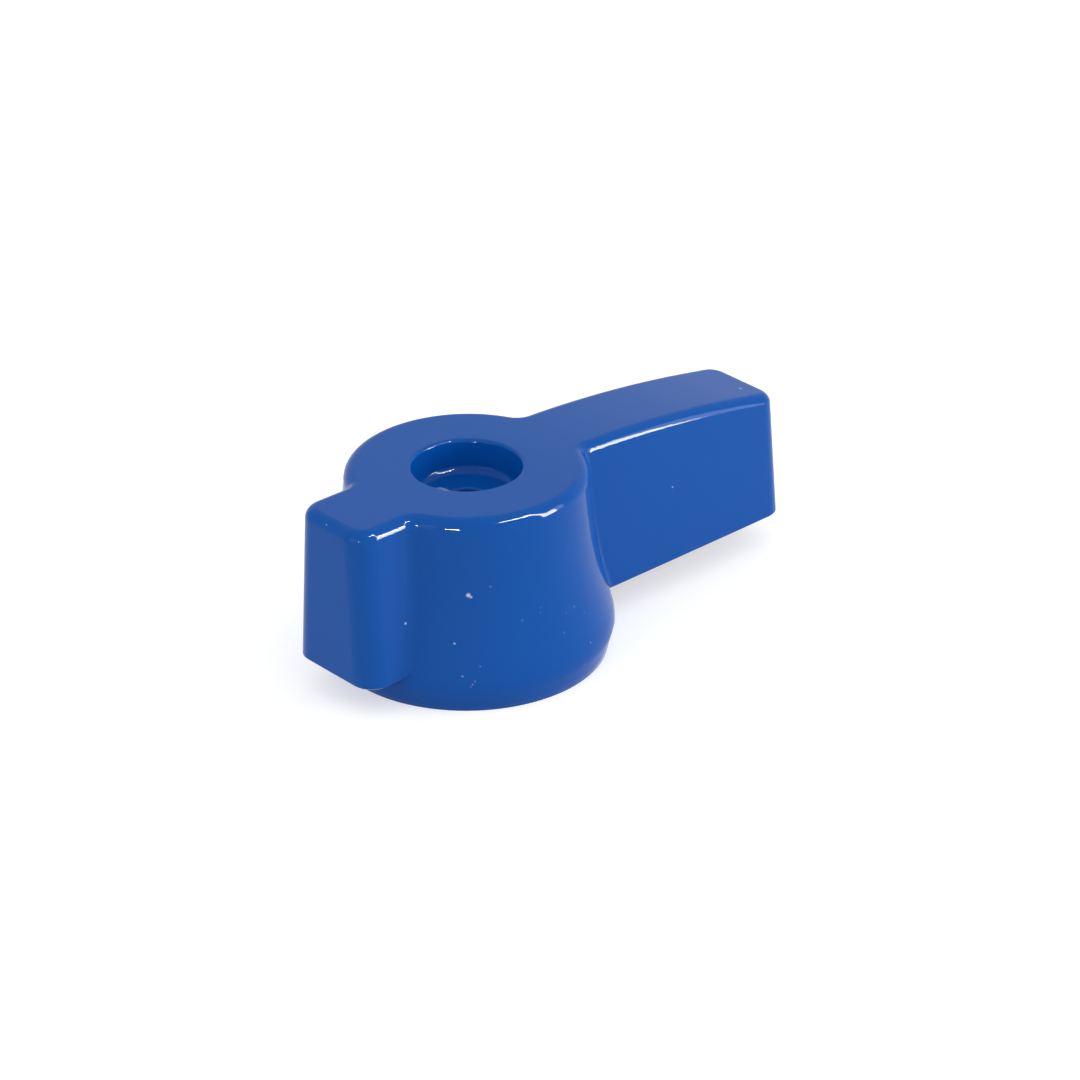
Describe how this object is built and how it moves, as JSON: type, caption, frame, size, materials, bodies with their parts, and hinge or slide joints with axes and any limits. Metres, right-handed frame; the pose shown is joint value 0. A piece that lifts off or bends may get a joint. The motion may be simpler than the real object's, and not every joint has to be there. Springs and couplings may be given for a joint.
{
  "type": "ball valve lever handle",
  "caption": "One-piece lever handle for a small ball valve, with a flared hub, a crowned lever, a short nub, a recessed screw seat and a keyed stem socket.",
  "frame": {"origin": "on the hub's axis, in the plane of the base rim", "axes": "+X along the lever, from the hub to the lever's tip, +Z out of the hub's top, away from the valve"},
  "size_m": [0.05, 0.0258, 0.0176],
  "materials": {
    "handle": "glossy blue coating"
  },
  "bodies": {
    "root": {"handle": "handle"}
  },
  "joints": []
}
